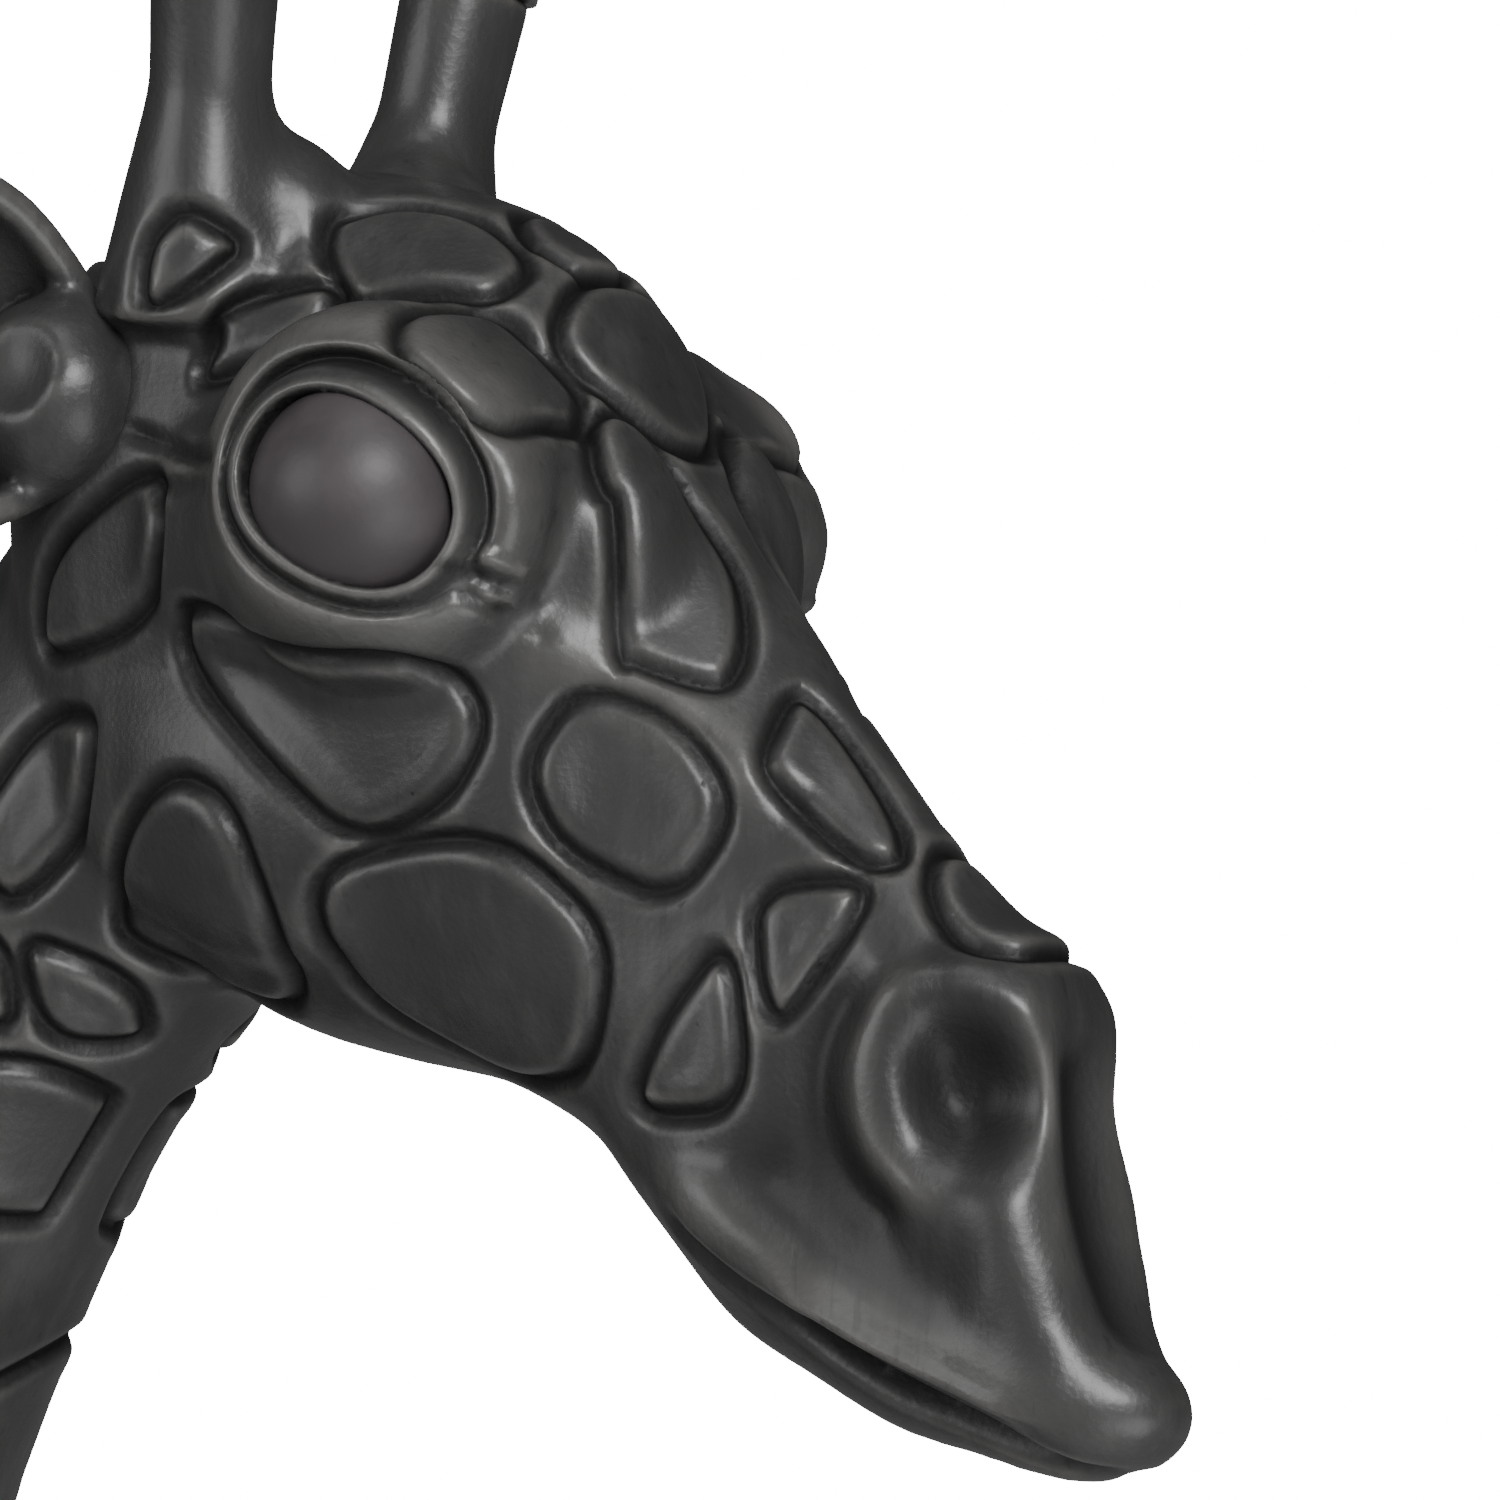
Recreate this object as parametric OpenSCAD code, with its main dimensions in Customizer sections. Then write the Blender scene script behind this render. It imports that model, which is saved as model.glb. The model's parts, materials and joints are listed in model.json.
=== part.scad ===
// Standing giraffe, carved in dark wood and built up from doweled blocks.
// The animal faces +X and stands with its hooves on Z = 0. Its right side is -Y.

/* [Overall] */
// Height from the soles of the hooves to the tips of the horns
statue_height = 1000; // [700:10:1400]
// Points around each carved skin
skin_points = 24; // [16:4:28]

/* [Head] */
// Diameter of the inlaid eyes, across their round sockets
eye_d = 17; // [14:0.5:18]
// Length of each horn tip above its stem
horn_length = 14; // [12:0.5:18]
// Diameter of the pegs that hold the horn tips, the ears and the tail
peg_d = 4; // [3:0.5:5]

/* [Joinery] */
// Diameter of the dowels in the neck
neck_dowel_d = 12; // [8:1:14]
// Diameter of the dowels at the top of each leg
leg_dowel_d = 10; // [8:1:12]
// Length of every dowel, half of it on each side of its joint
dowel_length = 60; // [40:5:70]
// Gap at the closed end of each dowel hole, for surplus glue
glue_gap = 1; // [0.5:0.5:2]

/* [Hidden] */

// The carving is drawn at a height of 1000 and scaled to the height asked for.
k = statue_height / 1000;
// It is then moved so that the origin is midway between the muzzle and the tail.
to_middle = [11.5, 0, 0];
steps = 2;

stain = [0.19, 0.18, 0.18];
eye_stain = [0.25, 0.22, 0.22];
bare_wood = [0.62, 0.47, 0.31];

// The point midway between the eyes. Head measurements start from it.
brow = [205, 0, 940];

// A skin is a list of rows, and each row is one cross-section:
// [x top, z top, x bottom, z bottom, half width, widest level, top shape, bottom shape, y of the centre]
// The widest level is a fraction from bottom to top. A shape of 1 is an ellipse, less is squarer.
head_rows = [
    [-47, 8, -46, -4, 4, 0.5, 1, 1, 0],
    [-44.5, 18, -44, -18, 13, 0.55, 0.9, 1, 0],
    [-38, 25.5, -38, -29, 17.5, 0.58, 0.85, 1, 0],
    [-29, 28.8, -31, -35.5, 19, 0.58, 0.85, 1, 0],
    [-19, 29.6, -22, -40.2, 19.2, 0.56, 0.88, 0.95, 0],
    [-9, 27.8, -12, -43, 19.2, 0.55, 0.9, 0.95, 0],
    [0, 24.2, -2, -45.2, 18.8, 0.55, 0.92, 0.95, 0],
    [7.5, 18.8, 5, -48.5, 17.2, 0.52, 0.95, 0.95, 0],
    [12.3, 11, 9, -51.5, 15.2, 0.48, 0.95, 1, 0],
    [16.7, 2.5, 12, -55.5, 13.2, 0.45, 0.95, 1, 0],
    [23.3, -7, 16, -60.3, 11.8, 0.45, 0.95, 1, 0],
    [30, -16, 21.3, -65, 10.8, 0.45, 0.95, 1, 0],
    [36.8, -24.5, 28, -69.8, 10.2, 0.45, 0.95, 1, 0],
    [43.8, -32.5, 35.5, -74, 10, 0.48, 0.9, 1, 0],
    [50.5, -37.2, 43, -76.5, 9.6, 0.5, 0.85, 1, 0],
    [53.2, -42, 48, -78, 9, 0.5, 0.85, 1, 0],
    [54, -55, 52, -78.8, 8, 0.5, 0.9, 0.9, 0],
    [57.5, -66, 55.5, -79, 6.5, 0.5, 0.9, 0.9, 0],
    [60.8, -70.5, 59.3, -77.7, 4, 0.5, 1, 1, 0],
    [62, -73, 61.5, -75.5, 1.5, 0.5, 1, 1, 0]];

// The neck runs from inside the skull to inside the shoulders.
neck_rows = [
    [162, 952, 196, 926, 12, 0.5, 1, 1, 0],
    [146, 932, 178, 907, 16.5, 0.5, 1, 1, 0],
    [128, 910, 160.5, 887, 18.5, 0.5, 1, 1, 0],
    [104, 877, 142.5, 855, 19.5, 0.5, 1, 1, 0],
    [81, 834, 125.5, 808, 20.5, 0.5, 1, 1, 0],
    [57, 781, 106, 752, 23, 0.5, 1, 1, 0],
    [33, 728, 90, 693, 26.5, 0.5, 1, 1, 0],
    [9, 682, 78, 636, 31.5, 0.5, 1, 1, 0],
    [-18, 644, 70, 583, 38, 0.5, 1, 1, 0],
    [-42, 612, 62, 530, 44, 0.5, 1, 1, 0]];

trunk_rows = [
    [67, 548, 67, 512, 8, 0.5, 1, 1, 0],
    [60, 574, 60, 470, 26, 0.5, 1, 1, 0],
    [44, 594, 44, 438, 40, 0.5, 1, 1, 0],
    [15, 612, 15, 415, 50, 0.5, 1, 1, 0],
    [-20, 620, -20, 406, 54, 0.5, 1, 1, 0],
    [-65, 610, -65, 405, 56, 0.48, 1, 1, 0],
    [-110, 597, -110, 410, 56, 0.48, 1, 1, 0],
    [-155, 588, -155, 420, 54, 0.5, 1, 1, 0],
    [-200, 582, -200, 436, 50, 0.5, 1, 1, 0],
    [-236, 570, -236, 458, 42, 0.5, 1, 1, 0],
    [-259, 549, -259, 483, 28, 0.5, 1, 1, 0],
    [-269, 527, -269, 506, 9, 0.5, 1, 1, 0]];

// Limbs run downwards: "top" is the back edge and "bottom" is the front edge of each cross-section.
front_leg_rows = [
    [-26, 592, 12, 592, 5, 0.5, 1, 1, 24],
    [-36, 556, 34, 556, 17, 0.5, 1, 1, 29],
    [-40, 510, 48, 510, 23, 0.5, 1, 1, 33],
    [-35, 465, 50, 465, 24.5, 0.5, 1, 1, 34],
    [-26, 428, 42, 428, 22.5, 0.5, 1, 1, 34],
    [-19, 395, 35, 395, 19.5, 0.5, 1, 1, 35],
    [-13, 345, 25, 345, 15.5, 0.5, 1, 1, 36],
    [-9, 290, 20, 290, 12.5, 0.5, 1, 1, 37],
    [-9, 252, 19, 252, 12, 0.5, 1, 1, 38],
    [-10, 228, 20, 228, 13, 0.5, 0.9, 0.9, 38],
    [-7, 200, 17, 200, 10.5, 0.5, 1, 1, 39],
    [-6, 150, 14, 150, 9, 0.5, 1, 1, 40],
    [-6, 95, 14, 95, 9, 0.5, 1, 1, 41],
    [-9, 62, 16, 62, 11, 0.5, 1, 1, 42],
    [-5, 42, 17, 42, 9.5, 0.5, 1, 1, 42],
    [-5, 30, 20, 30, 11, 0.5, 1, 1, 42],
    [-7, 12, 25, 12, 13.5, 0.5, 0.85, 0.9, 42],
    [-9, -2, 29, -2, 15, 0.5, 0.85, 0.9, 42]];
rear_leg_rows = [
    [-222, 568, -182, 568, 5, 0.5, 1, 1, 20],
    [-244, 542, -160, 542, 17, 0.5, 1, 1, 25],
    [-259, 506, -148, 506, 25, 0.5, 1, 1, 29],
    [-262, 468, -150, 468, 28, 0.5, 1, 1, 31],
    [-257, 432, -166, 432, 25.5, 0.5, 1, 1, 33],
    [-250, 395, -184, 395, 21, 0.5, 1, 1, 34],
    [-248, 345, -202, 345, 16.5, 0.5, 1, 1, 36],
    [-252, 295, -218, 295, 13, 0.5, 1, 1, 37],
    [-262, 262, -226, 262, 12.5, 0.5, 1, 1, 38],
    [-263, 238, -228, 238, 12.5, 0.5, 0.9, 0.9, 38],
    [-254, 205, -227, 205, 11, 0.5, 1, 1, 39],
    [-247, 150, -226, 150, 9.5, 0.5, 1, 1, 40],
    [-242, 95, -222, 95, 9, 0.5, 1, 1, 41],
    [-243, 62, -218, 62, 11, 0.5, 1, 1, 42],
    [-238, 42, -216, 42, 9.5, 0.5, 1, 1, 42],
    [-238, 30, -213, 30, 11, 0.5, 1, 1, 42],
    [-240, 12, -208, 12, 13.5, 0.5, 0.85, 0.9, 42],
    [-242, -2, -204, -2, 15, 0.5, 0.85, 0.9, 42]];
tail_rows = [
    [-262, 547, -258, 526, 6.5, 0.5, 1, 1, 0],
    [-274, 538, -264, 521, 7, 0.5, 1, 1, 0],
    [-281, 515, -270, 511, 6, 0.5, 1, 1, 0],
    [-285, 480, -276, 480, 4.5, 0.5, 1, 1, 0],
    [-286, 430, -279, 430, 3.5, 0.5, 1, 1, 0],
    [-286, 385, -280, 385, 3, 0.5, 1, 1, 0],
    [-288, 360, -278, 360, 5, 0.5, 1, 1, 0],
    [-290, 325, -276, 325, 7, 0.5, 1, 1, 0],
    [-288, 290, -277, 290, 5, 0.5, 1, 1, 0],
    [-284, 268, -281, 268, 1.2, 0.5, 1, 1, 0]];

// Joints between blocks: the middle of the cut, and its tilt from level about the Y axis.
head_joint = [100, 0, 817];
head_joint_tilt = 30;
neck_joint = [38, 0, 655];
neck_joint_tilt = 34;
front_leg_joint = [7, 35, 395];
rear_leg_joint = [-218, 34, 395];

eye_at = [-0.5, 20.5, 0.3];
eye_dome = 10;
horn_joint = [-19.7, 16.8, 46];
horn_lean = 8;
ear_at = [-36, 14.5, 10];
ear_length = 48;
ear_width = 30;

// ---- curves and skins

function catmull(a, b, c, d, t) =
    0.5 * (2 * b + (c - a) * t + (2 * a - 5 * b + 4 * c - d) * t * t + (3 * b - a - 3 * c + d) * t * t * t);

// The same rows with smooth ones added between them.
function reversed(rows) = [for (i = [len(rows) - 1 : -1 : 0]) rows[i]];
function runs_backwards(a, b) = (a[0] - a[2]) * (b[1] - a[1]) - (a[1] - a[3]) * (b[0] - a[0]) > 0;
function ordered(rows) = runs_backwards(rows[2], rows[len(rows) - 3]) ? reversed(rows) : rows;
function eased(rows, n = steps) = let (last = len(rows) - 1) [
    for (i = [0 : last - 1], j = [0 : n - 1])
        catmull(rows[max(i - 1, 0)], rows[i], rows[i + 1], rows[min(i + 2, last)], j / n),
    rows[last]];

function signed_pow(value, power) = sign(value) * pow(abs(value), power);

function ring(row, n = skin_points) = [
    for (i = [0 : n - 1])
        let (
            turn = 360 * i / n,
            shape = cos(turn) >= 0 ? row[6] : row[7],
            reach = signed_pow(cos(turn), shape),
            level = row[5] + (reach >= 0 ? 1 - row[5] : row[5]) * reach)
            [row[2] + (row[0] - row[2]) * level,
             row[8] + row[4] * signed_pow(sin(turn), shape),
             row[3] + (row[1] - row[3]) * level]];

module skin(rows, n = skin_points) {
    smooth = eased(ordered(rows));
    rings = [for (row = smooth) each ring(row, n)];
    last = len(smooth) - 1;
    sides = [for (i = [0 : last - 1], j = [0 : n - 1])
        let (a = i * n + j, b = i * n + (j + 1) % n)
            each [[a, b, b + n], [a, b + n, a + n]]];
    start_cap = [[for (j = [n - 1 : -1 : 0]) j]];
    end_cap = [[for (j = [0 : n - 1]) last * n + j]];
    polyhedron(rings, concat(start_cap, sides, end_cap), convexity = 6);
}

// Joins carved masses into one skin. Each mass stays in its place and at its size.
module carved_as_one() { resize([0, 0, 0]) children(); }

module on_side(side) { if (side < 0) mirror([0, 1, 0]) children(); else children(); }
module at_scale() { scale(k) translate(to_middle) children(); }
module at_brow() { translate(brow) children(); }

// A large block that covers everything on the upper side of a joint.
module above(joint, tilt, size = 700) {
    translate(joint) rotate([0, tilt, 0]) translate([-size / 2, -size / 2, 0]) cube(size);
}
module below(joint, tilt, size = 700) {
    translate(joint) rotate([0, tilt, 0]) translate([-size / 2, -size / 2, -size]) cube(size);
}

// ---- dowels

module dowel_pair(joint, tilt, d, spacing, gap = 0, along = [1, 0, 0]) {
    for (s = [-1, 1])
        translate(joint) rotate([0, tilt, 0]) translate(along * s * spacing / 2)
            cylinder(d = d, h = dowel_length + 2 * gap, center = true, $fn = 48);
}
module head_dowel_pair(gap = 0) { dowel_pair(head_joint, head_joint_tilt, neck_dowel_d, 22, gap); }
module neck_dowel_pair(gap = 0) { dowel_pair(neck_joint, neck_joint_tilt, neck_dowel_d, 38, gap); }
module leg_dowel_pair(joint, gap = 0) { dowel_pair(joint, 0, leg_dowel_d, 20, gap); }

// ---- head

module horn_axis() {
    translate(horn_joint) rotate([-horn_lean, horn_lean, 0]) children();
}
module horn_peg(gap = 0) {
    at_brow() horn_axis() cylinder(d = peg_d, h = 20 + 2 * gap, center = true, $fn = 32);
}
module ear_axis() {
    // The ear points out to the side, a little back and up. Its own axis is Z and its hollow faces +X.
    translate(ear_at) rotate([0, 0, 28]) rotate([-75, 0, 0]) children();
}
module ear_peg(gap = 0) {
    at_brow() ear_axis() cylinder(d = peg_d, h = 12 + 2 * gap, center = true, $fn = 32);
}
module eye_socket(depth) {
    at_brow() translate(eye_at) rotate([-90, 0, 0]) cylinder(d = eye_d, h = depth, $fn = 40);
}
module eye(side) {
    color(eye_stain) at_scale() on_side(side) intersection() {
        eye_socket(20);
        at_brow() translate(eye_at) sphere(r = eye_dome, $fn = 48);
    }
}

module brow_ridges() {
    for (side = [-1, 1]) on_side(side) {
        translate([1.2, 17.6, -0.4]) scale([0.96, 0.94, 0.94]) sphere(r = 12, $fn = 20);
        horn_axis() {
            translate([0, 0, -24]) cylinder(r1 = 8.5, r2 = 4.6, h = 14, $fn = 20);
            translate([0, 0, -10.2]) cylinder(r1 = 4.6, r2 = 5.2, h = 10.7, $fn = 20);
        }
    }
}
module muzzle_masses() {
    for (side = [-1, 1]) on_side(side) {
        translate([43.5, 5.5, -46]) scale([1, 0.75, 1.2]) sphere(r = 8, $fn = 16);
        translate([-18, 14, -22]) scale([1.3, 0.6, 1]) sphere(r = 14, $fn = 18);
    }
}

module head() {
    color(stain) at_scale() difference() {
        carved_as_one() union() {
            at_brow() {
                skin(head_rows);
                brow_ridges();
                muzzle_masses();
            }
            intersection() {
                skin(neck_rows);
                above(head_joint, head_joint_tilt);
            }
        }
        head_dowel_pair(glue_gap);
        for (side = [-1, 1]) on_side(side) {
            horn_peg(glue_gap);
            ear_peg(glue_gap);
            at_brow() horn_axis() cylinder(r = 9, h = 30, $fn = 32);
            eye_socket(20);
        }
    }
}

module horn(side) {
    color(stain) at_scale() at_brow() on_side(side) difference() {
        horn_axis() rotate_extrude($fn = 48) polygon([
            [0, 0], [5.2, 0], [5.6, horn_length * 0.2], [6.3, horn_length * 0.5], [6.5, horn_length * 0.66],
            [6, horn_length * 0.82], [4.6, horn_length * 0.93], [2.6, horn_length * 0.99], [0, horn_length]]);
        translate(-brow) horn_peg(glue_gap);
    }
}

module ear(side) {
    color(stain) at_scale() on_side(side) difference() {
        carved_as_one() at_brow() ear_axis() difference() {
            intersection() {
                union() {
                    translate([0, 0, 4]) sphere(r = 8, $fn = 16);
                    translate([-3, 0, ear_length / 2 - 1])
                        scale([0.42, ear_width / ear_length, 1]) sphere(d = ear_length + 2, $fn = 24);
                }
                translate([-20, -20, 0]) cube([40, 40, 60]);
            }
            translate([6, 0, 26]) scale([0.4, 0.5, 0.9]) sphere(r = 20, $fn = 24);
        }
        ear_peg(glue_gap);
    }
}

// ---- body

module neck() {
    color(stain) at_scale() difference() {
        carved_as_one() intersection() {
            skin(neck_rows);
            below(head_joint, head_joint_tilt);
            above(neck_joint, neck_joint_tilt);
        }
        head_dowel_pair(glue_gap);
        neck_dowel_pair(glue_gap);
    }
}

module leg_skin(rows, joint) {
    intersection() {
        skin(rows, 16);
        translate([-400, -100, 0]) cube([800, 200, joint[2]]);
    }
}

module torso() {
    color(stain) at_scale() difference() {
        carved_as_one() union() {
            skin(trunk_rows);
            intersection() {
                skin(neck_rows);
                below(neck_joint, neck_joint_tilt);
            }
            for (side = [-1, 1]) on_side(side) intersection() {
                union() {
                    skin(front_leg_rows, 16);
                    skin(rear_leg_rows, 16);
                }
                above(front_leg_joint, 0);
            }
        }
        neck_dowel_pair(glue_gap);
        for (side = [-1, 1]) on_side(side) {
            leg_dowel_pair(front_leg_joint, glue_gap);
            leg_dowel_pair(rear_leg_joint, glue_gap);
        }
        tail_peg_body(glue_gap);
    }
}

module leg(rows, joint, side) {
    color(stain) at_scale() on_side(side) difference() {
        carved_as_one() leg_skin(rows, joint);
        leg_dowel_pair(joint, glue_gap);
    }
}

module tail_peg_body(gap = 0) {
    translate([-268, 0, 529.5]) rotate([0, -143, 0]) cylinder(d = peg_d, h = 16 + 2 * gap, center = true, $fn = 32);
}
module tail() {
    color(stain) at_scale() difference() {
        carved_as_one() difference() {
            skin(tail_rows, 12);
            skin(trunk_rows);
        }
        tail_peg_body(glue_gap);
    }
}

// ---- nodes

head();
neck();
torso();
leg(front_leg_rows, front_leg_joint, -1);  // leg_front_right
leg(front_leg_rows, front_leg_joint, 1);  // leg_front_left
leg(rear_leg_rows, rear_leg_joint, -1);  // leg_rear_right
leg(rear_leg_rows, rear_leg_joint, 1);  // leg_rear_left
horn(-1);  // horn_right
horn(1);  // horn_left
ear(-1);  // ear_right
ear(1);  // ear_left
eye(-1);  // eye_right
eye(1);  // eye_left
tail();
color(bare_wood) at_scale() head_dowel_pair();  // head_dowels
color(bare_wood) at_scale() neck_dowel_pair();  // neck_dowels
color(bare_wood) at_scale() on_side(-1) leg_dowel_pair(front_leg_joint);  // dowels_front_right
color(bare_wood) at_scale() leg_dowel_pair(front_leg_joint);  // dowels_front_left
color(bare_wood) at_scale() on_side(-1) leg_dowel_pair(rear_leg_joint);  // dowels_rear_right
color(bare_wood) at_scale() leg_dowel_pair(rear_leg_joint);  // dowels_rear_left
color(bare_wood) at_scale() on_side(-1) horn_peg();  // horn_peg_right
color(bare_wood) at_scale() horn_peg();  // horn_peg_left
color(bare_wood) at_scale() on_side(-1) ear_peg();  // ear_peg_right
color(bare_wood) at_scale() ear_peg();  // ear_peg_left
color(bare_wood) at_scale() tail_peg_body();  // tail_peg
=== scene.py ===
import json
import math

import bpy
import numpy as np
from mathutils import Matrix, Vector
from mathutils.bvhtree import BVHTree

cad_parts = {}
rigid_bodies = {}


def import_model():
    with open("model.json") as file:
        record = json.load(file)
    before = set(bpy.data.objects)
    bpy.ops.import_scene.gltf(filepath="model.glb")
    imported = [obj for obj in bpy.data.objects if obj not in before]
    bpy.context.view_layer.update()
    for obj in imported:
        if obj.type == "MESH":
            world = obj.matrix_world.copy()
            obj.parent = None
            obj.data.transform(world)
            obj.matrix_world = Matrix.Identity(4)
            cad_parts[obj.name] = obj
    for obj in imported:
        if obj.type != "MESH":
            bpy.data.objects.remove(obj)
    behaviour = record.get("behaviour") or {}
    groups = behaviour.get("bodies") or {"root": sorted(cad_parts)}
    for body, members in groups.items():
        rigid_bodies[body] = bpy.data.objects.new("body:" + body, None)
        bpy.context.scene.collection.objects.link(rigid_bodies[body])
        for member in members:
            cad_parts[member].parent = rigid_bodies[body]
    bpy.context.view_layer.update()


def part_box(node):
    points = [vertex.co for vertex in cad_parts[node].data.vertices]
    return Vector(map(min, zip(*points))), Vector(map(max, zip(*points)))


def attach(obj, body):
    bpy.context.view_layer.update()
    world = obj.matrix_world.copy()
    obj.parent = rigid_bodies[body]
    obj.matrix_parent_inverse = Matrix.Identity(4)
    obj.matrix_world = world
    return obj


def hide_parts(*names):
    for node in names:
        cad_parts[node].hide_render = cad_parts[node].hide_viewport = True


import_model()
mm = 0.001
loose = 1

# head measurements start near the middle of the left eye box
eyeLow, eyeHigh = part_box("eye_left")
browPoint = np.array([(eyeLow.x + eyeHigh.x) / 2 + 0.5 * mm, 0.0,
                      (eyeLow.z + eyeHigh.z) / 2 - 0.3 * mm])
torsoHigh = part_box("torso")[1]
# trunk and leg measurements start from the floor, below the shoulders
bodyPoint = np.array([torsoHigh.x - 76.9 * mm, 0.0, 0.0])


hands = ((-1, "Right"), (1, "Left"))


def note(text):
    print("stage:", text)


# camera, floor and light

view = {"turn": 36, "rise": -5, "away": 1250, "frame": 120, "right": 16.56, "down": 18.32}


def towards(v):
    # the way from the head to something at a turn and a rise, in degrees
    turn, rise = math.radians(v["turn"]), math.radians(v["rise"])
    return Vector((math.sin(turn) * math.cos(rise), -math.cos(turn) * math.cos(rise), math.sin(rise)))


def addCamera(v):
    toCamera, turn = towards(v), math.radians(v["turn"])
    right = Vector((math.cos(turn), math.sin(turn), 0))
    up = toCamera.cross(right)
    aim = Vector(browPoint) + right * v["right"] * mm - up * v["down"] * mm
    bpy.ops.object.camera_add(location=aim + toCamera * v["away"] * mm)
    camera = bpy.context.object
    camera.name = "camera"
    camera.rotation_euler = toCamera.to_track_quat("Z", "Y").to_euler()
    camera.data.sensor_width = 36
    camera.data.lens = 36 * v["away"] / v["frame"]
    camera.data.clip_start = 0.05
    camera.data.clip_end = 100
    bpy.context.scene.camera = camera


addCamera(view)
note("camera placed")


# clay tools: every carved piece is built up from masses, joined, and then worked on its points


def selectOnly(*pieces):
    bpy.ops.object.select_all(action="DESELECT")
    for piece in pieces:
        piece.select_set(True)
    bpy.context.view_layer.objects.active = pieces[0]


def pointsOf(piece):
    flat = np.empty(len(piece.data.vertices) * 3, np.float32)
    piece.data.vertices.foreach_get("co", flat)
    return flat.reshape(-1, 3).astype(float)


def putPoints(piece, points):
    piece.data.vertices.foreach_set("co", points.astype(np.float32).ravel())
    piece.data.update()


def normalsOf(piece):
    flat = np.empty(len(piece.data.vertices) * 3, np.float32)
    piece.data.vertex_normals.foreach_get("vector", flat)
    return flat.reshape(-1, 3).astype(float)


def catmull(rows, between):
    rows = np.array(rows, float)
    last = len(rows) - 1
    out = []
    for i in range(last):
        a, b, c, d = rows[max(i - 1, 0)], rows[i], rows[i + 1], rows[min(i + 2, last)]
        for t in np.arange(between) / between:
            out.append(0.5 * (2 * b + (c - a) * t + (2 * a - 5 * b + 4 * c - d) * t * t
                              + (3 * b - a - 3 * c + d) * t ** 3))
    out.append(rows[last])
    return np.array(out)


def addSkin(rows, start, around=48, between=5):
    # a grid rolled into a tube through the rows: top x, top z, bottom x, bottom z, half width,
    # widest level, top shape, bottom shape, y of the centre
    rows = catmull(rows, between)
    bpy.ops.mesh.primitive_grid_add(x_subdivisions=around, y_subdivisions=len(rows) - 1, size=1)
    piece = bpy.context.object
    turn = np.linspace(0, 2 * math.pi, around + 1)
    points = []
    for topX, topZ, lowX, lowZ, half, level, topShape, lowShape, centreY in rows:
        shape = np.where(np.cos(turn) >= 0, topShape, lowShape)
        reach = np.sign(np.cos(turn)) * np.abs(np.cos(turn)) ** shape
        height = level + np.where(reach >= 0, 1 - level, level) * reach
        side = np.sign(np.sin(turn)) * np.abs(np.sin(turn)) ** shape
        points.append(np.stack([lowX + (topX - lowX) * height, centreY + half * side,
                                lowZ + (topZ - lowZ) * height], 1))
    putPoints(piece, np.concatenate(points) * mm + start)
    bpy.ops.object.mode_set(mode="EDIT")
    bpy.ops.mesh.select_all(action="SELECT")
    bpy.ops.mesh.remove_doubles(threshold=1e-6)
    bpy.ops.mesh.select_all(action="DESELECT")
    bpy.ops.mesh.select_non_manifold(extend=False)
    bpy.ops.mesh.edge_face_add()
    bpy.ops.mesh.select_all(action="SELECT")
    bpy.ops.mesh.normals_make_consistent(inside=False)
    bpy.ops.object.mode_set(mode="OBJECT")
    return piece


def applied():
    # the newest piece, with its place, turn and size moved into its mesh
    bpy.ops.object.transform_apply(location=True, rotation=True, scale=True)
    return bpy.context.object


def addBall(centre, radii, start, turn=(0, 0, 0)):
    bpy.ops.mesh.primitive_uv_sphere_add(segments=40, ring_count=20, radius=1,
                                         location=Vector(np.array(centre) * mm + start),
                                         rotation=[math.radians(a) for a in turn], scale=np.array(radii) * mm)
    return applied()


def addBead(centre, radius, start):
    bpy.ops.mesh.primitive_ico_sphere_add(subdivisions=2, radius=radius * mm,
                                          location=Vector(np.array(centre) * mm + start))
    return applied()


def addCone(foot, tip, footRadius, tipRadius, start):
    foot, tip = np.array(foot, float) * mm + start, np.array(tip, float) * mm + start
    axis = Vector(tip - foot)
    bpy.ops.mesh.primitive_cone_add(vertices=40, radius1=footRadius * mm, radius2=tipRadius * mm,
                                    depth=axis.length, location=(foot + tip) / 2,
                                    rotation=axis.to_track_quat("Z", "Y").to_euler())
    return applied()


def merge(pieces):
    selectOnly(*pieces)
    bpy.ops.object.join()
    return applied()


def modify(piece, kind, **settings):
    selectOnly(piece)
    modifier = piece.modifiers.new("change", kind)
    for name, value in settings.items():
        setattr(modifier, name, value)
    bpy.ops.object.modifier_apply(modifier=modifier.name)


def remesh(piece, size):
    modify(piece, "REMESH", mode="VOXEL", voxel_size=size * mm)


def relax(piece, times):
    modify(piece, "SMOOTH", iterations=times, factor=0.5)


def thin(piece, most):
    count = len(piece.data.loops) - 2 * len(piece.data.polygons)
    if count > most:
        modify(piece, "DECIMATE", ratio=most / count)
    print("triangles", piece.name, count, len(piece.data.polygons))


def cut(piece, joint, keepAbove):
    # one flat saw cut, square to an axis leaning forward by the tilt
    place, tilt = joint
    lean = math.radians(tilt)
    selectOnly(piece)
    bpy.ops.object.mode_set(mode="EDIT")
    bpy.ops.mesh.select_all(action="SELECT")
    bpy.ops.mesh.bisect(plane_co=np.array(place) * mm + bodyPoint, use_fill=True,
                        plane_no=(math.sin(lean), 0, math.cos(lean)),
                        clear_inner=keepAbove, clear_outer=not keepAbove)
    bpy.ops.object.mode_set(mode="OBJECT")


def smoothStep(x, low, high):
    t = np.clip((x - low) / (high - low), 0, 1)
    return t * t * (3 - 2 * t)


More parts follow.
